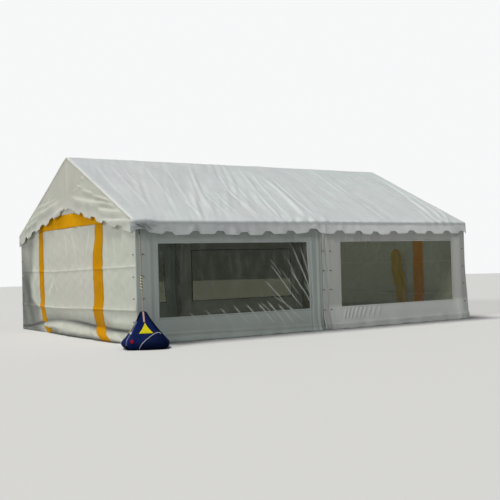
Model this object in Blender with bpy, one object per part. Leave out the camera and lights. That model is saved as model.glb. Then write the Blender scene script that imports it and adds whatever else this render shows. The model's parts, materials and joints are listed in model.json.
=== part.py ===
"""Two-bay frame marquee, 6 m by 8 m, with scalloped cover, window walls, zipped door ends and one ballast bag.

Units are metres and +Z is up. Everything is modelled about the plan centre of the tent, which is an empty,
and the world origin is on the ground under the front left foot plate. The front is the side towards -Y.
"""

import math

import bmesh
import bpy
from mathutils import Matrix, Vector

# Overall size, to the outer faces of the cover
LENGTH = 8.0
WIDTH = 6.0
EAVE = 2.10
RIDGE = 3.54

# Cloth, drawn thicker than the real 0.6 mm, and the gap kept between touching pieces
SHEET = 0.005
FILM = 0.003
FIT = 0.0003
WALL_INSET = 0.03

# Steel tube frame
TUBE_R = 0.025
SLEEVE_R = 0.030
SLEEVE_LENGTH = 0.11
HUB_R = 0.034
TUBE_SIDES = 20
FOOT_PLATE = 0.15
FOOT_THICKNESS = 0.006

# Scalloped edges. NOTCH_FLAT and NOTCH_END are distances from a notch's middle, as shares of the pitch
VALANCE_DROP = 0.235
SCALLOP_RISE = 0.062
SIDE_SCALLOPS = 15
SIDE_SCALLOP_PITCH = 0.515
GABLE_SCALLOPS = 11
GABLE_ARCH_TOP = 2.475
GABLE_ARCH_SLOPE = 0.20
NOTCH_FLAT = 0.10
NOTCH_END = 0.27
POINTS_PER_SCALLOP = 16

# Side walls and their windows
WALL_TOP = 2.10
WINDOW_NEAR_MIDDLE = 0.43
WINDOW_NEAR_CORNER = 3.55
WINDOW_SILL = 0.44
WINDOW_HEAD = 1.71

# Door ends
DOOR_HALF = 1.52
DOOR_TOP = 2.27
BAND_INNER_HALF = 1.35
BAND_OUTER_HALF = 1.69
BAND_BOTTOM_OF_TOP = 2.14
BAND_TOP = 2.40
BAND_FOOT = 0.01

# Ballast bag, outside the front left corner
BAG_CENTRE = Vector((-4.09, -3.44, 0.0))
BAG_TURN = math.radians(-25.3)
BAG_SIDES = 40
BAG_SECTIONS = [
    # height, half width, squareness of the plan
    (0.000, 0.318, 6.0),
    (0.015, 0.348, 6.0),
    (0.045, 0.365, 6.0),
    (0.085, 0.364, 6.0),
    (0.130, 0.345, 6.0),
    (0.180, 0.312, 6.0),
    (0.260, 0.252, 6.0),
    (0.370, 0.176, 5.0),
    (0.490, 0.098, 4.0),
    (0.565, 0.049, 3.0),
    (0.600, 0.030, 2.0),
]
CAP_R = 0.028
CAP_OUT = 0.025
CAP_PLACE = Vector((-0.19, -0.338, 0.14))

# Tie rope, from the cover's corner eyelet to the top of the bag
EYELET_PLACE = Vector((-3.915, -WIDTH / 2, 1.98))
EYELET_R = 0.021
EYELET_THICKNESS = 0.004
ROPE_R = 0.007
ROPE_LEAD = 0.035
ROPE_STEPS = 10

# Worked out from the dimensions above
HALF_X = LENGTH / 2
HALF_Y = WIDTH / 2
PITCH = (RIDGE - EAVE) / HALF_Y
COS_PITCH = 1 / math.hypot(1, PITCH)
WALL_X = HALF_X - WALL_INSET
WALL_Y = HALF_Y - WALL_INSET
LEG_X = WALL_X - SHEET - FIT - HUB_R
LEG_Y = WALL_Y - SHEET - FIT - HUB_R
FOOT_SHIFT = FOOT_PLATE / 2 - HUB_R
PLAN_CENTRE = Vector((LEG_X - FOOT_SHIFT, LEG_Y - FOOT_SHIFT, 0.0))


def roof_outer(y):
    """Height of the roof's outer face."""
    return RIDGE - PITCH * abs(y)


def roof_inner(y):
    """Height of the roof's inner face."""
    return roof_outer(y) - SHEET / COS_PITCH


def rafter_axis(y):
    """Height of the rafter axis, with the fittings just clear of the roof sheet."""
    return roof_outer(y) - (SHEET + FIT + HUB_R) / COS_PITCH


def clear_scene():
    for obj in list(bpy.data.objects):
        bpy.data.objects.remove(obj)


def make_material(name, colour, roughness, metallic=0.0, alpha=1.0):
    material = bpy.data.materials.new(name)
    material.use_nodes = True
    shader = material.node_tree.nodes["Principled BSDF"]
    shader.inputs["Base Color"].default_value = (*colour, 1.0)
    shader.inputs["Roughness"].default_value = roughness
    shader.inputs["Metallic"].default_value = metallic
    shader.inputs["Alpha"].default_value = alpha
    return material


def add_object(name, data, material=None):
    """Link an object that is placed about the plan centre."""
    obj = bpy.data.objects.new(name, data)
    bpy.context.scene.collection.objects.link(obj)
    obj.parent = centre
    if material:
        data.materials.append(material)
    return obj


def add_cutter(name, data):
    """Link a helper that takes part in Booleans and isn't a piece."""
    obj = add_object(name, data)
    obj.hide_render = True
    obj.display_type = "WIRE"
    return obj


def add_boolean(obj, other, operation):
    modifier = obj.modifiers.new(other.name, "BOOLEAN")
    modifier.operation = operation
    modifier.object = other
    modifier.solver = "EXACT"


def smooth(mesh):
    mesh.shade_smooth()
    mesh.set_sharp_from_angle(angle=math.radians(35))


def box_mesh(name, low, high):
    """A box between two corners."""
    low, high = Vector(low), Vector(high)
    bm = bmesh.new()
    size = high - low
    place = Matrix.Translation((low + high) / 2) @ Matrix.Diagonal((*size, 1))
    bmesh.ops.create_cube(bm, size=1, matrix=place)
    mesh = bpy.data.meshes.new(name)
    bm.to_mesh(mesh)
    bm.free()
    return mesh


def rod_mesh(name, start, end, radius):
    """A round bar between two points."""
    start, end = Vector(start), Vector(end)
    along = end - start
    turn = along.to_track_quat("Z", "Y").to_matrix().to_4x4()
    place = Matrix.Translation((start + end) / 2) @ turn
    bm = bmesh.new()
    bmesh.ops.create_cone(
        bm,
        cap_ends=True,
        segments=TUBE_SIDES,
        radius1=radius,
        radius2=radius,
        depth=along.length,
        matrix=place,
    )
    mesh = bpy.data.meshes.new(name)
    bm.to_mesh(mesh)
    bm.free()
    smooth(mesh)
    return mesh


def plate_mesh(name, outline, thickness_vector):
    """A flat plate: an outline of 3-D points, swept by the thickness vector."""
    bm = bmesh.new()
    face = bm.faces.new([bm.verts.new(p) for p in outline])
    swept = bmesh.ops.extrude_face_region(bm, geom=[face])
    moved = [v for v in swept["geom"] if isinstance(v, bmesh.types.BMVert)]
    bmesh.ops.translate(bm, verts=moved, vec=thickness_vector)
    bmesh.ops.recalc_face_normals(bm, faces=bm.faces)
    mesh = bpy.data.meshes.new(name)
    bm.to_mesh(mesh)
    bm.free()
    return mesh


def scallop(distance, pitch):
    """Share of the scallop's rise at a distance from a notch: 1 across the narrow notch, 0 across the wide lobe."""
    from_notch = abs((distance + pitch / 2) % pitch - pitch / 2) / pitch
    share = min(1.0, max(0.0, (NOTCH_END - from_notch) / (NOTCH_END - NOTCH_FLAT)))
    return share * share * (3 - 2 * share)


# Frame


def add_leg(name, x, y, inward, material):
    """A post on a square foot plate that is set inwards, clear of the walls."""
    top = rafter_axis(LEG_Y) - SLEEVE_LENGTH - FIT
    half = FOOT_PLATE / 2
    leg = add_object(name, box_mesh(name, (-half, -half, 0), (half, half, FOOT_THICKNESS)), material)
    leg.location = Vector((x, y, 0)) + inward
    post_mesh = rod_mesh(name + "_post", (0, 0, FOOT_THICKNESS / 2), (0, 0, top), TUBE_R)
    post = add_cutter(name + "_post", post_mesh)
    post.location = (x, y, 0)
    add_boolean(leg, post, "UNION")


def add_fitting(name, place, directions, material):
    """A welded fitting: a round hub with one sleeve for each tube."""
    bm = bmesh.new()
    bmesh.ops.create_uvsphere(bm, u_segments=16, v_segments=10, radius=HUB_R)
    mesh = bpy.data.meshes.new(name)
    bm.to_mesh(mesh)
    bm.free()
    hub = add_object(name, mesh, material)
    hub.location = place
    for number, direction in enumerate(directions):
        reach = Vector(direction).normalized() * SLEEVE_LENGTH
        sleeve_name = f"{name}_sleeve_{number}"
        sleeve = add_cutter(sleeve_name, rod_mesh(sleeve_name, (0, 0, 0), reach, SLEEVE_R))
        sleeve.location = place
        add_boolean(hub, sleeve, "UNION")


def add_tube(name, start, end, material):
    """A tube that ends just clear of the sleeves of the fittings at its two ends."""
    start, end = Vector(start), Vector(end)
    setback = (end - start).normalized() * (SLEEVE_LENGTH + FIT)
    add_object(name, rod_mesh(name, start + setback, end - setback, TUBE_R), material)


def build_frame(steel):
    eave_z = rafter_axis(LEG_Y)
    ridge_z = rafter_axis(0)
    columns = [("left", -LEG_X, (1,)), ("middle", 0.0, (-1, 1)), ("right", LEG_X, (-1,))]
    rows = [("front", -LEG_Y, 1), ("back", LEG_Y, -1)]
    for column, x, along_x in columns:
        length_arms = [(way, 0, 0) for way in along_x]
        ridge = Vector((x, 0, ridge_z))
        slopes = []
        for row, y, to_middle in rows:
            eave = Vector((x, y, eave_z))
            up_slope = ridge - eave
            slopes.append(-up_slope)
            inward = Vector((sum(along_x), to_middle, 0)) * FOOT_SHIFT
            add_leg(f"leg_{row}_{column}", x, y, inward, steel)
            add_fitting(f"eave_joint_{row}_{column}", eave, [(0, 0, -1), up_slope, *length_arms], steel)
            add_tube(f"rafter_{row}_{column}", eave, ridge, steel)
        add_fitting(f"ridge_joint_{column}", ridge, [*slopes, *length_arms], steel)
    for bay, x_start, x_end in [("left", -LEG_X, 0.0), ("right", 0.0, LEG_X)]:
        for row, y, _ in rows:
            add_tube(f"eave_rail_{row}_{bay}", (x_start, y, eave_z), (x_end, y, eave_z), steel)
        add_tube(f"ridge_beam_{bay}", (x_start, 0, ridge_z), (x_end, 0, ridge_z), steel)


# Cover


def side_edge_drop(x):
    """How far the side valance hangs below the eave at x."""
    first_notch = -SIDE_SCALLOPS / 2 * SIDE_SCALLOP_PITCH
    return VALANCE_DROP - SCALLOP_RISE * scallop(x - first_notch, SIDE_SCALLOP_PITCH)


def gable_edge_height(y):
    """Height of the gable flap's lower edge: scallops along a low arch."""
    pitch = WIDTH / GABLE_SCALLOPS
    arch = GABLE_ARCH_TOP - GABLE_ARCH_SLOPE * abs(y)
    lobes = max(arch, EAVE - VALANCE_DROP)
    return lobes + SCALLOP_RISE * scallop(y - pitch / 2, pitch)


def edge_points(half, count):
    """Evenly spaced values from one end to the other."""
    return [half * (2 * i / count - 1) for i in range(count + 1)]


def add_roof_sheet(name, side, material):
    """One slope of the roof, from the ridge to the eave. The side is -1 in front and 1 behind."""
    at_ridge = FIT / 2
    outline = [
        (-HALF_X, side * at_ridge, roof_outer(at_ridge)),
        (-HALF_X, side * HALF_Y, roof_outer(HALF_Y)),
        (-HALF_X, side * HALF_Y, roof_inner(HALF_Y)),
        (-HALF_X, side * at_ridge, roof_inner(at_ridge)),
    ]
    add_object(name, plate_mesh(name, outline, (LENGTH, 0, 0)), material)


def add_side_valance(name, side, material):
    """The scalloped strip that hangs from the eave."""
    top = roof_inner(HALF_Y) - FIT
    face_y = side * HALF_Y
    steps = round(LENGTH / SIDE_SCALLOP_PITCH * POINTS_PER_SCALLOP)
    lower = [(x, face_y, EAVE - side_edge_drop(x)) for x in edge_points(HALF_X, steps)]
    outline = [(-HALF_X, face_y, top), *lower, (HALF_X, face_y, top)]
    add_object(name, plate_mesh(name, outline, (0, -side * SHEET, 0)), material)


def add_gable_flap(name, end, material):
    """The cover's gable: a triangle with a scalloped, arched lower edge."""
    half = HALF_Y - SHEET - FIT
    face_x = end * HALF_X
    steps = GABLE_SCALLOPS * POINTS_PER_SCALLOP
    lower = [(face_x, y, gable_edge_height(y)) for y in edge_points(half, steps)]
    upper = [(face_x, y, roof_inner(y) - FIT) for y in (half, 0.0, -half)]
    add_object(name, plate_mesh(name, lower + upper, (-end * SHEET, 0, 0)), material)


def build_cover(cloth):
    for row, side in [("front", -1), ("back", 1)]:
        add_roof_sheet(f"roof_{row}", side, cloth)
        add_side_valance(f"valance_{row}", side, cloth)
    for column, end in [("left", -1), ("right", 1)]:
        add_gable_flap(f"gable_flap_{column}", end, cloth)


# Walls


def add_window_wall(row, side, bay, way, cloth, film):
    """One bay of side wall, with its window cut out and closed with clear film."""
    name = f"wall_{row}_{bay}"
    y_faces = sorted((side * WALL_Y, side * (WALL_Y - SHEET)))
    x_ends = sorted((way * FIT / 2, way * WALL_X))
    low, high = (x_ends[0], y_faces[0], 0), (x_ends[1], y_faces[1], WALL_TOP)
    wall = add_object(name, box_mesh(name, low, high), cloth)

    window_x = sorted((way * WINDOW_NEAR_MIDDLE, way * WINDOW_NEAR_CORNER))
    cutter_mesh = box_mesh(
        name + "_opening",
        (window_x[0], y_faces[0] - SHEET, WINDOW_SILL),
        (window_x[1], y_faces[1] + SHEET, WINDOW_HEAD),
    )
    add_boolean(wall, add_cutter(name + "_opening", cutter_mesh), "DIFFERENCE")

    middle = (y_faces[0] + y_faces[1]) / 2
    pane_name = f"window_{row}_{bay}"
    pane_mesh = box_mesh(
        pane_name,
        (window_x[0] + FIT, middle - FILM / 2, WINDOW_SILL + FIT),
        (window_x[1] - FIT, middle + FILM / 2, WINDOW_HEAD - FIT),
    )
    add_object(pane_name, pane_mesh, film)


def add_door_end(column, end, cloth, yellow):
    """An end wall up to the ridge, with a door curtain in it and a yellow band over the zips."""
    name = f"end_wall_{column}"
    inward = (-end * SHEET, 0, 0)
    half = WALL_Y - SHEET - FIT
    face_x = end * WALL_X
    drop = FIT * 3
    outline = [(face_x, -half, 0), (face_x, half, 0)]
    outline += [(face_x, y, roof_inner(y) - drop) for y in (half, 0.0, -half)]
    wall = add_object(name, plate_mesh(name, outline, inward), cloth)
    cutter_mesh = box_mesh(
        name + "_doorway",
        (face_x - 2 * SHEET, -DOOR_HALF, -SHEET),
        (face_x + 2 * SHEET, DOOR_HALF, DOOR_TOP),
    )
    add_boolean(wall, add_cutter(name + "_doorway", cutter_mesh), "DIFFERENCE")

    curtain_name = f"door_curtain_{column}"
    x_faces = sorted((face_x, face_x - end * SHEET))
    curtain_mesh = box_mesh(
        curtain_name,
        (x_faces[0], -DOOR_HALF + FIT, 0),
        (x_faces[1], DOOR_HALF - FIT, DOOR_TOP - FIT),
    )
    add_object(curtain_name, curtain_mesh, cloth)

    band_name = f"door_band_{column}"
    band_x = face_x + end * FIT
    corners = [
        (BAND_OUTER_HALF, BAND_FOOT),
        (BAND_OUTER_HALF, BAND_TOP),
        (-BAND_OUTER_HALF, BAND_TOP),
        (-BAND_OUTER_HALF, BAND_FOOT),
        (-BAND_INNER_HALF, BAND_FOOT),
        (-BAND_INNER_HALF, BAND_BOTTOM_OF_TOP),
        (BAND_INNER_HALF, BAND_BOTTOM_OF_TOP),
        (BAND_INNER_HALF, BAND_FOOT),
    ]
    band_outline = [(band_x, y, z) for y, z in corners]
    add_object(band_name, plate_mesh(band_name, band_outline, (end * FILM, 0, 0)), yellow)


def build_walls(cloth, film, yellow):
    for row, side in [("front", -1), ("back", 1)]:
        for bay, way in [("left", -1), ("right", 1)]:
            add_window_wall(row, side, bay, way, cloth, film)
    for column, end in [("left", -1), ("right", 1)]:
        add_door_end(column, end, cloth, yellow)


# Ballast


def bag_mesh(name):
    """A square bag with a full lower part and four sides that draw in to the top."""
    bm = bmesh.new()
    rings = []
    for height, half, squareness in BAG_SECTIONS:
        ring = []
        for i in range(BAG_SIDES):
            turn = math.tau * i / BAG_SIDES
            c, s = math.cos(turn), math.sin(turn)
            reach = half / (abs(c) ** squareness + abs(s) ** squareness) ** (1 / squareness)
            ring.append(bm.verts.new((reach * c, reach * s, height)))
        rings.append(ring)
    for lower, upper in zip(rings, rings[1:]):
        for i in range(BAG_SIDES):
            j = (i + 1) % BAG_SIDES
            bm.faces.new((lower[i], lower[j], upper[j], upper[i]))
    bm.faces.new(rings[-1])
    bm.faces.new(reversed(rings[0]))
    mesh = bpy.data.meshes.new(name)
    bm.to_mesh(mesh)
    bm.free()
    smooth(mesh)
    return mesh


def add_bag(blue, red):
    bag = add_object("ballast_bag", bag_mesh("ballast_bag"), blue)
    bag.location = BAG_CENTRE
    bag.rotation_euler.z = BAG_TURN

    out = Vector((0, -1, 0))
    cap_mesh = rod_mesh("ballast_filler_cap", CAP_PLACE + out * CAP_OUT, CAP_PLACE - out * CAP_OUT, CAP_R)
    cap = add_object("ballast_filler_cap", cap_mesh, red)
    cap.location = bag.location
    cap.rotation_euler = bag.rotation_euler
    seat = add_cutter("ballast_filler_seat", bag_mesh("ballast_filler_seat"))
    seat.rotation_euler = bag.rotation_euler
    seat.location = bag.location + bag.rotation_euler.to_matrix() @ (out * FIT)
    add_boolean(cap, seat, "DIFFERENCE")


def curved_between(start, lead_out, end, lead_in, steps):
    """Points on a cubic curve that leaves and arrives along the two leads."""
    points = []
    for i in range(steps + 1):
        t = i / steps
        s = 1 - t
        weights = (s * s * s, 3 * s * s * t, 3 * s * t * t, t * t * t)
        controls = (start, start + lead_out, end + lead_in, end)
        points.append(sum((p * w for p, w in zip(controls, weights)), Vector()))
    return points


def add_tie_rope(rope_cloth, brass):
    """The eyelet in the cover's corner and the taut rope from it to the bag."""
    outer = EYELET_PLACE + Vector((0, -FIT - EYELET_THICKNESS, 0))
    eyelet_mesh = rod_mesh("corner_eyelet", EYELET_PLACE + Vector((0, -FIT, 0)), outer, EYELET_R)
    add_object("corner_eyelet", eyelet_mesh, brass)

    start = outer + Vector((0, -FIT, 0))
    end = BAG_CENTRE + Vector((0, 0, BAG_SECTIONS[-1][0] + FIT))
    clear_of_eyelet = start + Vector((0, -ROPE_R, 0))
    below_start = start + Vector((0, -ROPE_LEAD, -ROPE_LEAD))
    above_end = end + Vector((0, 0, 2 * ROPE_LEAD))
    clear_of_bag = end + Vector((0, 0, ROPE_R))
    fall = (above_end - below_start).normalized() * ROPE_LEAD / 2
    out, up = Vector((0, -ROPE_LEAD / 2, 0)), Vector((0, 0, ROPE_LEAD / 2))
    route = [start, *curved_between(clear_of_eyelet, out, below_start, -fall, ROPE_STEPS)]
    route += [*curved_between(above_end, fall, clear_of_bag, up, ROPE_STEPS), end]

    curve = bpy.data.curves.new("tie_rope", "CURVE")
    curve.dimensions = "3D"
    curve.bevel_depth = ROPE_R
    curve.bevel_resolution = 2
    curve.use_fill_caps = True
    spline = curve.splines.new("POLY")
    spline.points.add(len(route) - 1)
    for point, place in zip(spline.points, route):
        point.co = (*place, 1)
    add_object("tie_rope", curve, rope_cloth)


clear_scene()
centre = bpy.data.objects.new("plan_centre", None)
bpy.context.scene.collection.objects.link(centre)
centre.location = PLAN_CENTRE

build_frame(make_material("galvanised_steel", (0.42, 0.43, 0.44), 0.45, metallic=1.0))
tent_cloth = make_material("tent_cloth", (0.62, 0.65, 0.63), 0.5)
build_cover(tent_cloth)
build_walls(
    tent_cloth,
    make_material("window_film", (0.30, 0.32, 0.28), 0.12, alpha=0.35),
    make_material("yellow_band", (0.66, 0.36, 0.01), 0.55),
)
add_bag(
    make_material("blue_bag_cloth", (0.02, 0.03, 0.14), 0.5),
    make_material("red_cap", (0.45, 0.02, 0.04), 0.4),
)
add_tie_rope(
    make_material("rope", (0.45, 0.40, 0.32), 0.9),
    make_material("brass", (0.35, 0.28, 0.16), 0.4, metallic=1.0),
)
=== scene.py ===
"""Looks of the marquee: folded cloth, window film, bands, ballast bag, rope, materials, light and camera.

Shapes are worked out about the plan centre of the tent, in metres, and placed there as a whole.
The front is the side towards -Y, and the left end is the one towards -X. In what follows side is 1 in
front and -1 behind, end is -1 at the left end and 1 at the right end, and way is the same for the bays.
"""

import json
import math
import random

import bmesh
import bpy
import numpy as np
from mathutils import Matrix, Vector

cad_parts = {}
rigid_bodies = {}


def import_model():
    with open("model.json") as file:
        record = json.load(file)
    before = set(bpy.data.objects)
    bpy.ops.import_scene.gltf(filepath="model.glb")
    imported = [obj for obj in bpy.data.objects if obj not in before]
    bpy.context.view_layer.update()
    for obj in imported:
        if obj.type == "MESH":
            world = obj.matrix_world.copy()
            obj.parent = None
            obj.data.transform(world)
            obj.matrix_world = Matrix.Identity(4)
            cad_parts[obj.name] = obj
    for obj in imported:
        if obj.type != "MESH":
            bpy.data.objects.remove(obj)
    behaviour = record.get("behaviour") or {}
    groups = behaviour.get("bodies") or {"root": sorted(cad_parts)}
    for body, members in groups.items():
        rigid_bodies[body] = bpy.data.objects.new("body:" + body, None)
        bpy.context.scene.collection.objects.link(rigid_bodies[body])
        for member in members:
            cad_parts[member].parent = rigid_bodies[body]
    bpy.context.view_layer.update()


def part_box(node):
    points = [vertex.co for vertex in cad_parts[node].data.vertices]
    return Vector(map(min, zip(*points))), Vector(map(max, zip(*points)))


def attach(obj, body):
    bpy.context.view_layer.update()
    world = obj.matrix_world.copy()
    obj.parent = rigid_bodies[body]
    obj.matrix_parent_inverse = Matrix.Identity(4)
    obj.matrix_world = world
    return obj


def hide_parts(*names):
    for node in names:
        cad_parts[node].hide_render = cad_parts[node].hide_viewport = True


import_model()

# Sizes of the frame and the CAD cloth that these pieces fit
LENGTH, WIDTH, EAVE, RIDGE = 8.0, 6.0, 2.10, 3.54
HALF_X, HALF_Y = LENGTH / 2, WIDTH / 2
PITCH = (RIDGE - EAVE) / HALF_Y
SLOPE_ANGLE = math.atan(PITCH)
SLOPE_LENGTH = math.hypot(HALF_Y, RIDGE - EAVE)
WALL_X, WALL_Y = 3.97, 2.97
RAFTER_X = 3.93
CLOTH = 0.002

# Edges of the cover: the valance's drop, its notches, the fold at the eave, and the gable flap's arch
VALANCE_DROP, SCALLOP_RISE = 0.235, 0.062
SIDE_PITCH, FLAP_PITCH = 0.515, WIDTH / 11
FOLD_START, FOLD_END = -0.045, 0.035
HANG_ROWS = 7
ARCH_TOP, ARCH_FALL = 2.475, 0.20

# Window, from the tent's middle outwards, and doorway with its yellow band, from the end's middle outwards
WINDOW_LEFT, WINDOW_RIGHT = 0.43, 3.55
SILL, HEAD = 0.44, 1.71
DOOR_HALF, DOOR_TOP = 1.52, 2.27
BAND_INNER, BAND_OUTER = 1.35, 1.69
BAND_LOW, BAND_TOP = 2.14, 2.40

# Heights on the walls: the side walls' hem, the end walls' fold lines, and the stretch of the left
# end's far band that is hidden in the roll of loose cloth
HEM_ROW = 0.12
UPPER_CREASE, LOWER_CREASE = 1.285, 0.545
FOOT_TOP, ROLL_TOP = 0.12, 0.22

# The bag's turn about the upright, its height, and how far its foot stands aside of its top
BAG_TURN = math.radians(-25.3)
BAG_HEIGHT, BAG_LEAN = 0.60, 0.042

roof_low, roof_high = Vector(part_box("roof_front")[0]), Vector(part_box("roof_back")[1])
CENTRE = Vector(((roof_low.x + roof_high.x) / 2, (roof_low.y + roof_high.y) / 2, 0))
bag_low, bag_high = (Vector(v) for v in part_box("ballast_bag"))
BAG_CENTRE = (bag_low + bag_high) / 2 - CENTRE
BAG_CENTRE.z = 0


# Numbers


def smoothstep(t):
    """A smooth change from 0 at 0 to 1 at 1."""
    t = np.clip(t, 0, 1)
    return t * t * (3 - 2 * t)


def bump(t):
    """A rounded hump: 1 at 0, gone beyond 2."""
    return np.exp(-t * t)


def rise(x, start, width):
    """0 up to the start, 1 from a width beyond it."""
    return smoothstep((x - start) / width)


def fall(x, stop, width):
    """1 up to a width before the stop, 0 beyond it."""
    return smoothstep((stop - x) / width)


def hump(x, middle, width):
    """1 in the middle, gone at two widths from it."""
    return bump((x - middle) / width)


def ripples(p, q, seed, count, wavelength, heading, spread):
    """Waves whose crests lie across a heading, in radians from the p axis, of about unit height."""
    rng = random.Random(seed)
    total = np.zeros_like(p)
    for _ in range(count):
        length = wavelength * rng.uniform(0.6, 1.7)
        turn = heading + rng.uniform(-spread, spread)
        along = p * math.cos(turn) + q * math.sin(turn)
        total = total + np.sin(along * math.tau / length + rng.uniform(0, math.tau))
    return total / math.sqrt(count)


def line_places(p, q, p0, q0, p1, q1, bend):
    """Each point's share of the way along a bent line, and its distance to the line's left."""
    long = math.hypot(p1 - p0, q1 - q0)
    t = ((p - p0) * (p1 - p0) + (q - q0) * (q1 - q0)) / long**2
    d = ((q - q0) * (p1 - p0) - (p - p0) * (q1 - q0)) / long
    return t, d - bend * 4 * t * (1 - t)


def creases(p, q, lines):
    """Pulled creases: their height, and a mark that is 1 on a strong crest.

    A line is its start, end, bend to the left, width and height. Its crest has a trough on the right.
    """
    height, marks = np.zeros_like(p), np.zeros_like(p)
    for *line, width, size in lines:
        t, d = line_places(p, q, *line)
        fade = smoothstep(t / 0.25) * fall(t, 1, 0.25)
        height += size * fade * (bump(d / width) - 0.6 * bump((d + 1.6 * width) / width))
        marks = np.maximum(marks, min(1, abs(size) / 0.012) * fade * bump(d / (0.7 * width)))
    return height, marks


def swags(p, q, lines):
    """Height of hanging folds, full on their left and steep on their right, by lines as for creases."""
    height = np.zeros_like(p)
    for *line, width, size in lines:
        t, d = line_places(p, q, *line)
        fade = smoothstep(t / 0.3) * fall(t, 1, 0.3)
        height += size * fade * np.where(d > 0, bump(d / (2.2 * width)), bump(d / (0.6 * width)))
    return height


def steps(breaks, step):
    """Values through all the breaks, at most a step apart."""
    values = [breaks[0]]
    for a, b in zip(breaks, breaks[1:]):
        count = max(1, math.ceil(abs(b - a) / step - 1e-9))
        values += [a + (b - a) * i / count for i in range(1, count + 1)]
    return np.array(values)


# Pieces


def new_object(name, data):
    """An object in the scene."""
    thing = bpy.data.objects.new(name, data)
    bpy.context.scene.collection.objects.link(thing)
    return thing


def add_piece(name, mesh, material, slot, *nodes):
    """A piece about the plan centre, which stands for the nodes."""
    piece = new_object(name, mesh)
    piece.location = CENTRE
    mesh.materials.append(material)
    if nodes:
        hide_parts(*nodes)
    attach(piece, "root")
    return piece


def grid_mesh(name, points, keep=None, **marks):
    """A smooth sheet through a grid of points: the cells to keep, and named values of the points."""
    rows, columns = points.shape[:2]
    index = np.arange(rows * columns).reshape(rows, columns)
    quads = np.stack([index[:-1, :-1], index[1:, :-1], index[1:, 1:], index[:-1, 1:]], axis=-1)
    quads = quads[keep] if keep is not None else quads.reshape(-1, 4)
    used, renumbered = np.unique(quads, return_inverse=True)
    mesh = bpy.data.meshes.new(name)
    mesh.from_pydata(points.reshape(-1, 3)[used].tolist(), [], renumbered.reshape(-1, 4).tolist())
    mesh.shade_smooth()
    for mark, values in marks.items():
        attribute = mesh.attributes.new(mark, "FLOAT", "POINT")
        attribute.data.foreach_set("value", values.reshape(-1)[used].astype(np.float32))
    return mesh


def thicken(piece, thickness=CLOTH, offset=-1.0):
    """Gives a sheet its thickness, behind it at offset -1 and before it at offset 1."""
    solid = piece.modifiers.new("thickness", "SOLIDIFY")
    solid.thickness = thickness
    solid.offset = offset
    return piece


def face_outward(mesh, outward):
    """Turns the faces so that most of them look along outward."""
    normals = np.zeros(len(mesh.polygons) * 3)
    mesh.polygons.foreach_get("normal", normals)
    if normals.reshape(-1, 3).mean(axis=0) @ np.array(outward) < 0:
        mesh.flip_normals()


def add_sheet(name, points, outward, material, slot, *nodes, thickness=CLOTH, offset=-1.0, **grid):
    """A piece that is a thickened sheet through a grid of points and looks along outward."""
    mesh = grid_mesh(name, points, **grid)
    face_outward(mesh, outward)
    piece = add_piece(name, mesh, material, slot, *nodes)
    return thicken(piece, thickness, offset) if thickness else piece


def tube_mesh(name, points, radius, closed=False):
    """A round cord along a line of points."""
    curve = bpy.data.curves.new(name, "CURVE")
    curve.dimensions = "3D"
    curve.bevel_depth = radius
    curve.bevel_resolution = 1
    curve.use_fill_caps = not closed
    spline = curve.splines.new("POLY")
    spline.points.add(len(points) - 1)
    spline.use_cyclic_u = closed
    for point, place in zip(spline.points, points):
        point.co = (*place, 1)
    holder = bpy.data.objects.new(name, curve)
    mesh = bpy.data.meshes.new_from_object(holder)
    bpy.data.objects.remove(holder)
    bpy.data.curves.remove(curve)
    mesh.shade_smooth()
    return mesh


def joined(name, meshes):
    """One mesh of several, which are used up."""
    bm = bmesh.new()
    for mesh in meshes:
        bm.from_mesh(mesh)
        bpy.data.meshes.remove(mesh)
    whole = bpy.data.meshes.new(name)
    bm.to_mesh(whole)
    bm.free()
    whole.shade_smooth()
    return whole


# Materials


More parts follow.
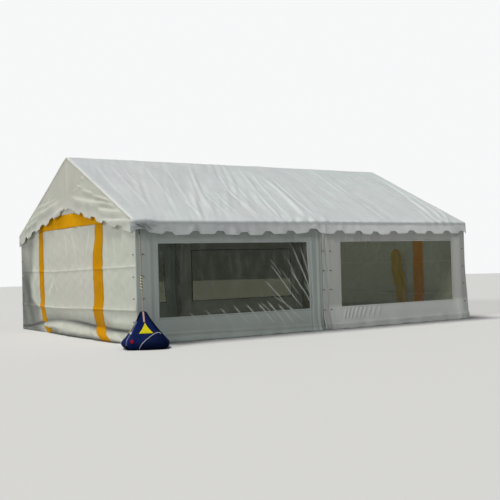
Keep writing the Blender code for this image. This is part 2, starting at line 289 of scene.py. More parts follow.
class Nodes:
    """Builds the shader nodes of a material or of the world."""

    def __init__(self, owner, shader="Principled BSDF", output="Material Output"):
        owner.use_nodes = True
        self.owner, self.tree = owner, owner.node_tree
        self.shader, self.output = self.tree.nodes[shader], self.tree.nodes[output]

    def put(self, socket, value):
        """Links an output to an input, or gives the input a value of its own."""
        if isinstance(value, bpy.types.NodeSocket):
            self.tree.links.new(value, socket)
        else:
            socket.default_value = (*value, 1) if socket.type == "RGBA" else value

    def fill(self, node, *values, **named):
        """Puts values into a node's first inputs, and into those that are named."""
        for socket, value in zip(node.inputs, values):
            self.put(socket, value)
        for name, value in named.items():
            self.put(node.inputs[name.replace("_", " ")], value)

    def add(self, kind, *values, **named):
        """A new node of a kind, with its inputs filled."""
        node = self.tree.nodes.new("ShaderNode" + kind)
        self.fill(node, *values, **named)
        return node

    def place(self):
        """Where a point lies in its object's own axes."""
        return self.add("TexCoord").outputs["Object"]

    def height(self):
        return self.add("SeparateXYZ", self.place()).outputs["Z"]

    def mark(self, name):
        """A named value that the mesh has at each point."""
        node = self.add("Attribute")
        node.attribute_name = name
        return node.outputs["Fac"]

    def noise(self, scale, detail=3.0, roughness=0.55, stretch=(1, 1, 1), distortion=0.0):
        place = self.add("Mapping", Vector=self.place(), Scale=stretch).outputs["Vector"]
        shape = {"Scale": scale, "Detail": detail, "Roughness": roughness, "Distortion": distortion}
        return self.add("TexNoise", Vector=place, **shape).outputs["Fac"]

    def wave(self, scale, direction, distortion=0.0):
        node = self.add("TexWave", Vector=self.place(), Scale=scale, Distortion=distortion)
        node.bands_direction = direction
        return node.outputs["Fac"]

    def level(self, value, low, high, to_low=0.0, to_high=1.0):
        """The value, stretched from one range to another and held within it."""
        return self.add("MapRange", value, low, high, to_low, to_high).outputs["Result"]

    def math(self, operation, a, b):
        node = self.add("Math", a, b)
        node.operation = operation
        return node.outputs["Value"]

    def times(self, a, b):
        return self.math("MULTIPLY", a, b)

    def colour(self, share, a, b):
        """A colour between a and b."""
        node = self.add("Mix")
        node.data_type = "RGBA"
        self.fill(node, Factor=share, A=a, B=b)
        return node.outputs["Result"]

    def mix(self, share, a, b):
        """A shader between a and b."""
        return self.add("MixShader", share, a, b).outputs["Shader"]

    def bump(self, *layers):
        """Bump from layers of height, strength and distance in metres."""
        normal = None
        for height, strength, distance in layers:
            node = self.add("Bump", Strength=strength, Distance=distance, Height=height)
            if normal:
                self.fill(node, Normal=normal)
            normal = node.outputs["Normal"]
        self.fill(self.shader, Normal=normal)
        return normal

    def roughen(self, scale, low, high):
        """Roughness that varies in patches."""
        self.fill(self.shader, Roughness=self.level(self.noise(scale, 3), 0.3, 0.7, low, high))

    def show(self, shader):
        self.fill(self.output, Surface=shader)


def tinted(colour, factors, most=1.0):
    """A colour times a factor for each channel, up to a limit."""
    return tuple(min(most, c * f) for c, f in zip(colour, factors))


def coated_cloth(name, clean, stained, roughness=0.42, through=0.35, gloss=0.4):
    """Coated polyester: grain, crumpling, rain streaks, splashes, light through it, and marks that paint
    highlights on creases, painted light and painted shade.
    """
    m = Nodes(bpy.data.materials.new(name))
    clouds = m.level(m.noise(0.9, 4), 0.35, 0.7)
    streaks = m.level(m.noise(5.0, 3, stretch=(1, 1, 0.12)), 0.45, 0.8)
    stain = m.times(m.math("ADD", clouds, streaks), 0.35)
    splash = m.times(m.level(m.height(), 0.30, 0.0), m.level(m.noise(9.0, 5), 0.3, 0.75))
    patches = m.level(m.noise(0.7, 2, stretch=(1, 0.5, 0.5)), 0.42, 0.60)
    body = m.colour(patches, clean, tinted(clean, (1.03, 0.975, 1.00)))
    for share, tint in (
        (stain, stained),
        (m.times(splash, 0.5), tinted(stained, (0.72, 0.70, 0.62))),
        # Painted highlights on crease crests, painted light on places drawn brighter, and painted shade in
        # folds, hollows and under edges
        (m.times(m.mark("creased"), 0.8), tinted(clean, (1.19, 1.13, 1.15))),
        (m.mark("paled"), tinted(clean, (1.45, 1.45, 1.45), 0.95)),
        (m.mark("greyed"), tinted(stained, (0.10, 0.10, 0.12))),
    ):
        body = m.colour(share, body, tint)
    m.fill(m.shader, Base_Color=body, Specular_IOR_Level=gloss)
    m.roughen(3.0, roughness - 0.07, roughness + 0.08)
    normal = m.bump(
        (m.noise(9, 5, 0.55, distortion=0.5), 0.40, 0.011),
        (m.noise(60, 3), 0.20, 0.0018),
        (m.noise(900, 1), 0.10, 0.0004),
    )
    translucent = m.add("BsdfTranslucent", Color=clean, Normal=normal)
    m.show(m.mix(through, m.shader.outputs["BSDF"], translucent.outputs["BSDF"]))
    return m.owner


def clear_film(name, tint, haze):
    """Clear flexible film: a smoky tint, scuffs, painted highlights on its creases and a wavy shine."""
    m = Nodes(bpy.data.materials.new(name))
    scuffs = m.level(m.noise(7, 5, 0.7, stretch=(1, 1, 0.35)), 0.46, 0.78)
    m.fill(m.shader, Base_Color=m.colour(scuffs, haze, (0.24, 0.25, 0.24)))
    m.fill(m.shader, Roughness=m.level(scuffs, 0, 1, 0.12, 0.30))
    m.bump((m.noise(5, 3, 0.5, distortion=0.4), 0.35, 0.01))
    clear = m.add("BsdfTransparent", Color=tint).outputs["BSDF"]
    white = m.add("BsdfDiffuse", Color=(0.62, 0.65, 0.62)).outputs["BSDF"]
    scuffed = m.mix(m.level(scuffs, 0, 1, 0.16, 0.36), clear, m.shader.outputs["BSDF"])
    # The white along the creases is a painted highlight
    m.show(m.mix(m.times(m.mark("creased"), 0.75), scuffed, white))
    return m.owner


def metal(name, bright, dull, roughness):
    """Metal with a spangled or tarnished surface."""
    m = Nodes(bpy.data.materials.new(name))
    m.fill(m.shader, Base_Color=m.colour(m.level(m.noise(22, 4), 0.35, 0.7), bright, dull), Metallic=1.0)
    m.roughen(35, roughness - 0.1, roughness + 0.1)
    m.bump((m.noise(90, 2), 0.15, 0.001))
    return m.owner


def bag_cloth(name, deep, worn, roughness=0.5):
    """Woven coated cloth that is worn in patches, with painted shade at its foot."""
    m = Nodes(bpy.data.materials.new(name))
    body = m.colour(m.level(m.noise(11, 5, 0.65), 0.45, 0.8), deep, worn)
    # Painted shade: darker towards the foot
    foot = m.times(m.level(m.height(), 0.13, 0.0), 0.75)
    body = m.colour(foot, body, tinted(deep, (0.3, 0.3, 0.3)))
    m.fill(m.shader, Base_Color=body, Specular_IOR_Level=0.006)
    m.roughen(20, roughness - 0.1, roughness + 0.08)
    threads = m.times(m.wave(160, "X"), m.wave(160, "Z"))
    m.bump((m.noise(24, 4, 0.6, distortion=0.5), 0.35, 0.006), (threads, 0.25, 0.0005))
    return m.owner


def rope_material(name, light, dark):
    """Laid rope with a fuzzy surface."""
    m = Nodes(bpy.data.materials.new(name))
    lay = m.wave(55, "DIAGONAL", 1.5)
    m.fill(m.shader, Base_Color=m.colour(lay, dark, light), Roughness=0.85)
    m.bump((lay, 0.8, 0.002), (m.noise(300, 2), 0.4, 0.0006))
    return m.owner


cover_cloth = coated_cloth("cover_cloth", (0.765, 0.82, 0.815), (0.68, 0.705, 0.71), 0.40)
# The side walls' colours are darker than the cover's and the ends' as painted shade, with less of it in the
# right bays
wall_cloth = coated_cloth("wall_cloth", (0.55, 0.61, 0.585), (0.45, 0.50, 0.465), 0.42)
paler_wall_cloth = coated_cloth("paler_wall_cloth", (0.64, 0.67, 0.635), (0.55, 0.575, 0.54), 0.42)
end_cloth = coated_cloth("end_cloth", (0.708, 0.738, 0.655), (0.603, 0.626, 0.556), 0.42)
welt_cloth = coated_cloth("welt_cloth", (0.88, 0.88, 0.80), (0.78, 0.78, 0.70), 0.42)
band_cloth = coated_cloth("band_cloth", (0.69, 0.345, 0.0), (0.56, 0.27, 0.0), 0.5, gloss=0.05)
# The inner flap's paler, brighter yellow is painted light
flap_cloth = coated_cloth("inner_flap_cloth", (0.85, 0.62, 0.02), (0.75, 0.52, 0.02), 0.5, gloss=0.05)
film = clear_film("clear_film", (0.80, 0.81, 0.71), (0.125, 0.128, 0.125))
smoky_film = clear_film("smoky_film", (0.42, 0.43, 0.37), (0.06, 0.065, 0.055))
dark_film = clear_film("dark_film", (0.34, 0.35, 0.29), (0.05, 0.055, 0.045))
steel = metal("galvanised_steel", (0.52, 0.53, 0.54), (0.34, 0.35, 0.36), 0.42)
brass = metal("brass_eyelets", (0.42, 0.36, 0.24), (0.18, 0.15, 0.10), 0.45)
blue = bag_cloth("bag_cloth", (0.005, 0.012, 0.058), (0.011, 0.021, 0.10))
# The ridges' near-black is painted shade along the bag's edges
navy = bag_cloth("bag_seams", (0.002, 0.003, 0.010), (0.004, 0.006, 0.020))
shadowy_blue = bag_cloth("bag_flap_cloth", (0.004, 0.008, 0.032), (0.007, 0.012, 0.050))
patch_yellow = bag_cloth("bag_patch", (0.60, 0.52, 0.01), (0.48, 0.42, 0.02))
piping = bag_cloth("bag_piping", (0.50, 0.51, 0.55), (0.36, 0.37, 0.42))
edging = bag_cloth("bag_edging", (0.20, 0.21, 0.38), (0.08, 0.09, 0.20))
webbing = bag_cloth("bag_webbing", (0.50, 0.31, 0.28), (0.38, 0.24, 0.22))
cap_red = bag_cloth("bag_cap", (0.36, 0.012, 0.035), (0.27, 0.015, 0.035), 0.35)
elastic = bag_cloth("elastic_loops", (0.06, 0.06, 0.055), (0.12, 0.12, 0.11), 0.6)
rope = rope_material("tie_rope", (0.42, 0.36, 0.29), (0.20, 0.17, 0.135))
# The near-black core is painted shade
dark_rope = rope_material("tie_rope_core", (0.06, 0.05, 0.04), (0.02, 0.02, 0.015))
cream_rope = rope_material("tie_rope_whipping", (0.80, 0.74, 0.52), (0.60, 0.53, 0.34))


# Cover


def scallop(distance, pitch):
    """1 across a notch, 0 across a lobe, at a distance from a notch."""
    from_notch = np.abs((distance + pitch / 2) % pitch - pitch / 2) / pitch
    return fall(from_notch, 0.27, 0.17)


def side_drop(x, side):
    """How far the side valance hangs below the eave. In front a few lobes are pulled aside or up."""
    pulled = 0.15 * hump(x, 0.55, 0.6) if side > 0 else 0.0
    drop = VALANCE_DROP - SCALLOP_RISE * scallop(x - pulled + SIDE_PITCH / 2, SIDE_PITCH)
    drop = drop + 0.008 * ripples(x, x * 0, 5 - side, 4, 1.9, 0, 0)
    if side > 0:
        drop = drop - 0.055 * hump(x, -0.24, 0.26) - 0.040 * hump(x, -3.72, 0.24)
    return drop


def path_of_cover():
    """The cover's section from the ridge outwards: distance along it, then across, height and steepness."""
    along = np.linspace(0, SLOPE_LENGTH + 0.32, 4000)
    rounding = smoothstep(along / 0.05)
    turning = rise(along - SLOPE_LENGTH, FOLD_START, 0.075)
    angle = -(SLOPE_ANGLE * rounding + (math.pi / 2 - SLOPE_ANGLE) * turning)
    step = along[1] - along[0]
    across = np.cumsum(np.cos(angle)) * step
    height = np.cumsum(np.sin(angle)) * step
    across *= HALF_Y / across[-1]
    middle = len(along) // 3
    height += RIDGE + 0.003 - PITCH * across[middle] - height[middle]
    return along, across, height, angle


# Creases of the front slope: x and distance down from the ridge at both ends, bend, width and height
FRONT_ROOF_CREASES = [
    (-2.36, 3.20, -1.26, 0.12, -0.05, 0.042, 0.015),
    (-2.28, 3.20, -1.49, 0.70, -0.04, 0.032, 0.011),
    (-2.40, 3.00, -1.50, 0.40, -0.03, 0.028, 0.007),
    (-1.25, 2.25, -0.78, 0.50, -0.05, 0.022, 0.009),
    (-1.31, 3.22, -1.14, 1.40, 0.00, 0.035, 0.012),
    (-0.86, 3.28, -0.04, 0.10, -0.04, 0.045, 0.013),
    (-0.65, 3.28, 0.14, 0.22, -0.02, 0.032, 0.010),
    (-0.28, 3.28, 0.26, 0.55, 0.05, 0.045, 0.015),
    (0.02, 3.30, 0.52, 0.55, -0.04, 0.034, 0.012),
    (-1.72, 3.15, -1.52, 1.60, 0.00, 0.026, 0.008),
    (-1.95, 3.10, -1.80, 1.50, 0.02, 0.026, 0.007),
    (-1.05, 2.70, -0.62, 0.60, -0.03, 0.028, 0.008),
    (1.41, 2.10, 1.63, 0.05, 0.00, 0.024, 0.008),
    (1.85, 1.95, 2.04, 0.03, -0.01, 0.026, 0.009),
    (2.46, 2.00, 2.68, 0.03, -0.03, 0.026, 0.009),
    (0.95, 2.60, 1.25, 0.40, 0.00, 0.030, 0.006),
    (3.60, 3.05, 3.90, 0.25, -0.02, 0.030, 0.008),
    (3.74, 3.10, 3.95, 0.50, -0.01, 0.026, 0.009),
    (3.31, 3.30, 3.76, 2.05, 0.13, 0.036, 0.021),
    (3.38, 3.32, 3.87, 2.10, 0.22, 0.034, 0.022),
    (3.12, 3.28, 3.60, 1.60, 0.15, 0.040, 0.015),
    (3.30, 2.95, 3.86, 0.60, 0.10, 0.050, 0.016),
    (2.95, 3.25, 3.30, 2.30, 0.08, 0.040, 0.008),
    (-3.68, 2.80, -3.49, 0.15, -0.04, 0.036, 0.007),
    (-3.44, 2.90, -3.20, 0.15, 0.02, 0.036, 0.007),
    (-3.10, 1.75, -2.92, 0.30, -0.04, 0.028, 0.006),
    (-2.86, 2.70, -2.40, 0.15, 0.01, 0.032, 0.007),
    (-2.49, 2.65, -1.93, 0.25, 0.00, 0.032, 0.007),
    (-2.60, 3.28, -2.43, 2.10, 0.00, 0.024, 0.009),
    (-1.41, 3.28, -1.27, 2.20, 0.01, 0.024, 0.009),
    (-0.90, 3.30, -0.57, 1.90, -0.01, 0.024, 0.010),
    (-1.00, 3.25, -0.19, 0.46, -0.06, 0.090, 0.017),
    (-0.27, 3.29, 0.22, 0.94, 0.05, 0.100, 0.018),
    (-2.69, 3.19, -1.52, 0.61, 0.00, 0.090, 0.011),
    (-2.35, 3.09, -1.42, 1.09, 0.02, 0.070, 0.009),
    (-1.33, 2.96, -0.83, 1.04, 0.00, 0.070, 0.009),
]


def back_roof_creases():
    """Creases of the back slope, which doesn't show in the photo, in the manner of the front one."""
    rng = random.Random(8)
    lines = []
    for _ in range(20):
        foot = rng.uniform(-3.8, 3.7)
        head = foot + rng.uniform(0.05, 0.9)
        size = rng.uniform(0.006, 0.013)
        upper, bend, width = rng.uniform(0.1, 1.6), rng.uniform(-0.06, 0.06), rng.uniform(0.03, 0.05)
        lines.append((foot, 3.28, head, upper, bend, width, size))
    return lines


def roof_folds(x, w, side):
    """Height of one roof slope's folds, and its crease marks, at x and w down from the ridge."""
    share = np.clip(w / SLOPE_LENGTH, 0, 1)
    in_bay = np.abs(np.abs(x) - HALF_X / 2) / (HALF_X / 2)
    lift, marks = creases(x, w, FRONT_ROOF_CREASES if side > 0 else back_roof_creases())
    lift = 0.68 * lift - 0.020 * (1 - in_bay**2) * np.sin(math.pi * share)
    leaning = x + w * (0.12 + 0.34 * hump(x, -2.0, 2.2))
    patchy = smoothstep(0.5 + 0.5 * ripples(x, w, 36 + side, 5, 1.8, 0.4, 1.5))
    lift += 0.0028 * patchy * ripples(leaning, w * 0.15, 11 + side, 8, 0.24, 0.0, 0.2)
    lift += 0.0015 * patchy * ripples(leaning, w * 0.15, 21 + side, 8, 0.11, 0.0, 0.2)
    lift += 0.0020 * hump(x, -2.0, 1.1) * ripples(leaning, w * 0.5, 61 + side, 8, 0.26, 0.0, 0.9)
    lift += 0.0045 * ripples(x, w, 31 + side, 7, 0.9, 0.2, 0.8)
    at_eave = rise(w, 2.95, 0.3) * fall(w, SLOPE_LENGTH + 0.03, 0.06)
    pulled = hump(x, -0.35, 0.75) + 0.7 * hump(x, 3.45, 0.4) + 0.15
    lift += 0.0085 * at_eave * pulled * ripples(leaning, w * 0.1, 51 + side, 6, 0.15, 0.0, 0.1)
    near_rake = HALF_X - np.abs(x)
    lift -= 0.010 * hump(near_rake, 0.30, 0.16) * np.sin(math.pi * np.clip(share * 1.1, 0, 1))
    over_rafter = np.minimum(np.abs(np.abs(x) - RAFTER_X), np.abs(x)) / 0.12
    kept = np.where(lift < 0, smoothstep(over_rafter) * smoothstep(w / 0.08), 1)
    held = 0.45 + 0.55 * fall(w, SLOPE_LENGTH, 0.10)
    return lift * kept * held - 0.016 * fall(near_rake, 0.035, 0.035), marks


# Creases of the front valance: x and share of the way down at both ends, bend, width and height
VALANCE_CREASES = [
    (-3.99, -0.1, -3.80, 0.9, 0.0, 0.030, 0.022),
    (-3.92, -0.1, -3.66, 0.8, 0.0, 0.028, 0.020),
    (-3.84, -0.1, -3.48, 0.6, 0.0, 0.024, 0.014),
    (-3.98, 0.45, -3.72, 0.30, 0.0, 0.050, 0.012),
    (-0.02, -0.2, -0.30, 0.9, 0.0, 0.030, 0.012),
    (0.05, -0.2, 0.05, 0.9, 0.0, 0.025, 0.010),
    (0.10, -0.2, 0.40, 0.9, 0.0, 0.030, 0.010),
]


def valance_folds(x, hang, side):
    """How far the side valance stands out, more so to the right, at x and a share of the way down."""
    seed = 41 + side
    rightward = rise(x, -2.6, 4.2)
    waves = 0.013 * (0.2 + hang) * ripples(x, hang, seed, 6, 0.75, 0.0, 0.25)
    waves += 0.007 * (0.3 + hang) * ripples(x, hang * 0.3, seed + 2, 6, 0.28, 0.4, 0.5)
    flared = 0.008 + 0.062 * rightward * fall(x, 3.95, 0.5)
    out = waves * (1 - 0.82 * rightward) + flared * hang * side_drop(x, side) / VALANCE_DROP
    recess = 1 + 0.5 * ripples(x, x * 0, seed + 4, 5, 0.9, 0, 0)
    out -= 0.012 * hump(hang, 0.16, 0.10) * recess * (1 - 0.8 * rightward)
    if side > 0:
        out += creases(x, hang, VALANCE_CREASES)[0]
    return np.maximum(out, -0.016 + 0.008 * hang)


def eave_puckers(x, past_eave):
    """Height of the puckers along the front eave, with the hood at its left end."""
    lift = 0.028 * hump(x, -3.76, 0.12) * hump(past_eave, 0.01, 0.11)
    lift += 0.016 * hump(x, -0.10, 0.16) * hump(past_eave, 0.01, 0.09)
    scrunched = 0.15 + 0.85 * hump(x, -0.45, 1.2) + 0.6 * hump(x, 3.3, 0.6)
    puckers = smoothstep(0.5 + 0.45 * ripples(x, x * 0, 71, 6, 0.26, 0, 0))
    return lift + 0.016 * scrunched * puckers * hump(past_eave, -0.02, 0.10)


def eave_marks(x, past_eave, hang, side):
    """How much painted shade the cover has along its eave fold and under the hood, and how much painted
    light on the valance.
    """
    rightward = rise(x, -2.4, 3.6)
    # Painted shade along the eave fold and under the hood, darkest on its creases; painted light on the
    # valance towards the right
    line = hump(past_eave, 0.036, 0.014) * (0.20 - 0.12 * rightward)
    if side < 0:
        return {"greyed": line, "paled": 0 * x}
    at_hood = hump(x, -3.88, 0.22) * hump(past_eave, 0.10, 0.11)
    shade = at_hood * (0.46 + 0.48 * creases(x, hang, VALANCE_CREASES)[1])
    return {"greyed": np.maximum(shade, line), "paled": rise(past_eave, 0.02, 0.04) * rightward}


def make_cover():
    """The cover with both valances, as one sheet over the ridge. Gives back its grid of points."""
    xs = np.concatenate([
        steps([-HALF_X, -HALF_X + 0.04, -2.6], 0.030)[:-1],
        steps([-2.6, 0.9], 0.020)[:-1],
        steps([0.9, HALF_X - 0.04, HALF_X], 0.030),
    ])
    slope_rows = np.concatenate([
        np.linspace(0, 0.06, 4)[:-1],
        steps([0.06, SLOPE_LENGTH - 0.06], 0.058),
        SLOPE_LENGTH + np.linspace(FOLD_START, FOLD_END, 6),
    ])
    along, across, height, angle = path_of_cover()
    halves = []
    for side in (1, -1):
        x_slope, w_slope = np.meshgrid(xs, slope_rows)
        x_hang, hang = np.meshgrid(xs, np.linspace(0, 1, HANG_ROWS + 1)[1:])
        w_hang = SLOPE_LENGTH + FOLD_END + hang * (side_drop(xs, side) - FOLD_END)
        x = np.vstack([x_slope, x_hang])
        w = np.vstack([w_slope, w_hang])
        hang = np.vstack([x_slope * 0, hang])
        past_eave = w - SLOPE_LENGTH
        lift, marks = roof_folds(x, w, side)
        lift = np.where(hang > 0, valance_folds(x, hang, side), lift)
        if side > 0:
            lift += eave_puckers(x, past_eave)
            x = x - 0.085 * fall(x, -3.72, 0.26) * rise(past_eave, -0.12, 0.13)
        steepness = np.interp(w, along, angle)
        y = np.interp(w, along, across) - np.sin(steepness) * lift
        z = np.interp(w, along, height) + np.cos(steepness) * lift
        halves.append({
            "points": np.stack([x, -side * y, z], axis=-1),
            # Painted highlights on the roof's crease crests
            "creased": np.where(hang > 0, 0, 0.4 * marks),
            **eave_marks(x, past_eave, hang, side),
        })
    front, back = halves
    whole = {key: np.concatenate([front[key][::-1], back[key][1:]]) for key in front}
    points = whole.pop("points")
    nodes = ("roof_front", "roof_back", "valance_front", "valance_back")
    cover = add_sheet("cover", points, (0, 0, 1), cover_cloth, "tent_cloth", *nodes, **whole)
    return points


def rake(y):
    """Height of the roof over the ends."""
    return RIDGE - PITCH * np.abs(y)


def arch(y):
    """Height of the gable flap's edge without its notches."""
    return ARCH_TOP - ARCH_FALL * np.abs(y)


def flap_edge(y, end):
    """Height of the gable flap's lower edge. The notch on one side of the middle is a flat one."""
    lobes = np.maximum(arch(y) + 0.035 * bump(y / 0.30), EAVE - VALANCE_DROP)
    flat = 1 - 0.95 * hump(y * -end, -FLAP_PITCH / 2, 0.15)
    return lobes + SCALLOP_RISE * flat * scallop(y - FLAP_PITCH / 2, FLAP_PITCH)


# Folds of the gable flap: y and z at both ends, bend, width and height
FLAP_SWAGS = [
    (2.70, 2.35, 0.30, 2.71, 0.03, 0.050, 0.034),
    (2.80, 2.22, 1.50, 2.43, 0.03, 0.038, 0.028),
    (2.15, 2.62, 0.55, 2.74, 0.02, 0.050, 0.014),
    (-0.05, 2.74, -2.05, 2.45, 0.03, 0.055, 0.030),
    (-1.25, 2.67, -2.18, 2.50, 0.00, 0.025, 0.022),
    (-1.45, 2.42, -2.60, 2.28, 0.03, 0.045, 0.026),
    (-1.65, 2.19, -2.95, 2.11, 0.01, 0.035, 0.020),
    (-0.70, 2.83, -1.35, 2.69, 0.00, 0.030, 0.016),
    (-1.45, 2.55, -2.30, 2.40, 0.00, 0.022, 0.014),
    (2.45, 2.50, 1.20, 2.60, 0.02, 0.030, 0.014),
    (0.70, 2.37, 0.25, 2.57, 0.00, 0.040, 0.030),
]
FLAP_CREASES = [
    (0.02, 3.47, 0.00, 2.72, 0.00, 0.045, 0.012),
    (-0.86, 2.99, -0.72, 3.06, 0.00, 0.045, 0.012),
    (-0.25, 2.80, -0.85, 2.93, 0.00, 0.022, 0.006),
    (-0.45, 2.93, -0.95, 2.82, 0.00, 0.020, 0.006),
    (1.30, 2.60, 0.80, 2.85, 0.00, 0.030, 0.005),
]


def flap_folds(y, z, end):
    """How far the gable flap stands out, and its marks."""
    above_edge = z - arch(y)
    mirrored = y * -end
    swag = swags(mirrored, z, FLAP_SWAGS)
    pulled, creased = creases(mirrored, z, FLAP_CREASES)
    out = swag + pulled + 0.004 * ripples(y, z, 71 + end, 6, 0.6, 0.9, 1.2)
    out = out * fall(np.abs(y), HALF_Y - 0.01, 0.25)
    flared = (1 - smoothstep(above_edge / 0.42)) * fall(np.abs(y), 2.85, 0.7) * (1 - 0.85 * bump(y / 0.5))
    out += 0.045 * flared + 0.012 * flared * ripples(y, z * 0.3, 75 + end, 5, 0.5, 0.0, 0.2)
    under_rake = fall(z, rake(y), 0.10)
    close = 0.019 * bump(y / 0.55) * (1 - smoothstep(above_edge / 0.5))
    under_fold = np.clip((swags(mirrored, z + 0.05, FLAP_SWAGS) - swag) / 0.020, 0, 1)
    # Painted highlights on the creases, painted light along the lower edge, and painted shade under the
    # folds
    return (np.maximum(out, -0.004) - close) * under_rake, {
        "creased": creased * 0.6,
        "paled": 0.28 * smoothstep(1 - above_edge / 0.35) * fall(mirrored, 2.6, 0.8),
        "greyed": 0.20 * under_fold * under_rake,
    }


def make_gable_flap(column, end):
    """The flap that closes the cover's end above the door, with its arched and scalloped edge."""
    ys = steps([-HALF_Y + 0.003, 0, HALF_Y - 0.003], 0.028)
    share, y = np.meshgrid(np.linspace(0, 1, 52) ** 0.9, ys)
    bottom = flap_edge(y, end)
    top = np.minimum(rake(y) - 0.004, RIDGE - 0.010)
    z = bottom + (top - bottom) * share
    out, marks = flap_folds(y, z, end)
    points = np.stack([end * (HALF_X + out), y, z], axis=-1)
    name, node = f"gable_flap_cloth_{column}", f"gable_flap_{column}"
    flap = add_sheet(name, points, (end, 0, 0), end_cloth, "tent_cloth", node, **marks)


def make_rake_welt(column, end, roof_edge):
    """The sewn welt along the two rakes, where the cover meets the gable flap."""
    points = [Vector(p) + Vector((end * 0.002, 0, 0.001)) for p in roof_edge]
    mesh = tube_mesh(f"rake_welt_{column}", points, 0.0085)
    add_piece(mesh.name, mesh, welt_cloth, "tent_cloth")


# Walls


# Creases of the left bays, pulled to the foot of the window's inner edge: x from the tent's middle and z
# at both ends, and height
LEFT_FAN = [
    (0.74, 1.70, 0.33, 0.48, 0.013), (0.58, 1.68, 0.35, 0.66, 0.009), (1.26, 1.34, 0.55, 0.45, 0.013),
    (1.40, 1.04, 0.78, 0.42, 0.011), (1.22, 0.74, 0.58, 0.32, 0.009), (1.50, 0.62, 1.10, 0.28, 0.009),
    (0.81, 1.26, 0.35, 0.40, 0.012), (0.86, 1.46, 0.56, 0.76, 0.007), (0.54, 0.98, 0.33, 0.42, 0.009),
    (1.26, 1.42, 0.96, 1.06, 0.005), (0.47, 1.68, 0.36, 1.02, 0.007), (1.02, 1.24, 0.58, 0.66, 0.005),
]
# Creases across the sills of the left and the right bays: x from the middle and z at both ends
LEFT_SILL_CREASES = [
    (0.50, 0.16, 0.86, 0.52), (0.68, 0.15, 1.10, 0.58), (0.88, 0.16, 1.36, 0.66), (1.12, 0.17, 1.56, 0.62),
    (1.40, 0.18, 1.82, 0.62), (1.70, 0.20, 2.08, 0.60), (2.02, 0.20, 2.36, 0.57), (2.36, 0.22, 2.66, 0.54),
    (2.72, 0.22, 2.98, 0.52),
]
RIGHT_SILL_CREASES = [
    (x, 0.17, x + 0.13, 0.43) for x in (0.46, 0.56, 0.66, 0.77, 0.88, 0.99, 1.11, 1.24, 1.38)
]


def hem_height(x, way):
    """Height of the welded hem line of a side wall, at x from the middle towards the corner."""
    return 0.105 + (0.05 if way < 0 else 0.02) * smoothstep(x / 3.5)


def wall_folds(x, z, side, way):
    """How far a side wall stands out, and its crease marks. x runs from the tent's middle to the corner."""
    seed = 100 + 10 * side + way
    out = 0.003 * ripples(x, z, seed, 6, 0.9, 0.1, 0.5)
    out += 0.0014 * ripples(x, z, seed + 1, 8, 0.16, 0.0, 0.25) * rise(z, 1.5, 0.4)
    out += 0.008 * hump(x, 0.14, 0.20) * ripples(x, z * 0.1, seed + 2, 5, 0.13, 0.0, 0.1)
    out += 0.005 * hump(x, 3.75, 0.14) * ripples(x, z * 0.1, seed + 3, 4, 0.14, 0.0, 0.1)
    gathered = rise(z, 1.60, 0.2) * fall(x, 1.9, 1.0) * rise(x, -0.1, 0.2)
    out += (0.012 if way > 0 else 0.0030) * gathered * ripples(x, z * 0.2, seed + 4, 5, 0.12, 0.0, 0.06)
    strength = 1 if side > 0 else 0.5
    lines = []
    for *ends, size in LEFT_FAN if way < 0 else []:
        lines.append((*ends, -0.02, 0.014, size * strength))
    for x0, z0, x1, z1 in LEFT_SILL_CREASES if way < 0 else RIGHT_SILL_CREASES:
        lines.append((x0, z0, x1, z1, 0.01, 0.019, max(0.006, 0.015 - 0.004 * x0) * strength))
    pulled, marks = creases(x, z, lines)
    out += pulled
    out += 0.050 * hump(x, 3.76, 0.12) * (1 if way > 0 else 0.2)
    out += 0.024 * hump(x, 0.33, 0.12) * rise(z, 0.5, 0.6) * (1 if way < 0 else 0.3)
    hem = hem_height(x, way)
    out += (0.030 if way > 0 else 0.016) * hump(z, hem, 0.045)
    # A painted highlight just above the hem line
    marks = np.maximum(marks, 0.9 * hump(z - hem, 0.014, 0.026 if way > 0 else 0.015))
    waves = 1 + ripples(x, z, seed + 5, 6, 0.55, 0.0, 0.15)
    out += 0.010 * fall(z, 0.35, 0.35) * waves + 0.034 * fall(z, hem, hem)
    if way > 0:
        out += 0.028 * fall(z, 0.42, 0.40)
    at_corner = smoothstep((WALL_X - x) / 0.05 + 0.1)
    under_valance = np.clip((2.02 - z) / 0.2, 0.15, 1)
    return np.clip(out, -0.006, 0.10) * at_corner * under_valance, marks


def wall_points(x, z, side, way, proud=0.0):
    """Places on a side wall, with its crease marks. Some of its cloth is pulled sideways."""
    out, marks = wall_folds(x, z, side, way)
    pulled = -0.055 - 0.05 * fall(z, 1.7, 1.4) if way < 0 else 0.03
    x = x + pulled * hump(x, 0.45, 0.18)
    if side > 0 and way > 0:
        x = x + 0.075 * fall(z, 1.3, 1.3) * rise(x, 3.62, 0.35)
    return np.stack([way * x, -side * (WALL_Y + out + proud), z], axis=-1), marks


def ground_hem(x, seed):
    """Height of a wall's lower edge, which rides over the ground in places."""
    return np.maximum(0.003, 0.005 + 0.007 * ripples(x, x * 0, seed, 5, 0.5, 0, 0))


def window_cells(xs, zs):
    """Which cells of a grid lie in the window."""
    x, z = (xs[:-1] + xs[1:])[:, None] / 2, (zs[:-1] + zs[1:])[None, :] / 2
    return (x > WINDOW_LEFT) & (x < WINDOW_RIGHT) & (z > SILL) & (z < HEAD)


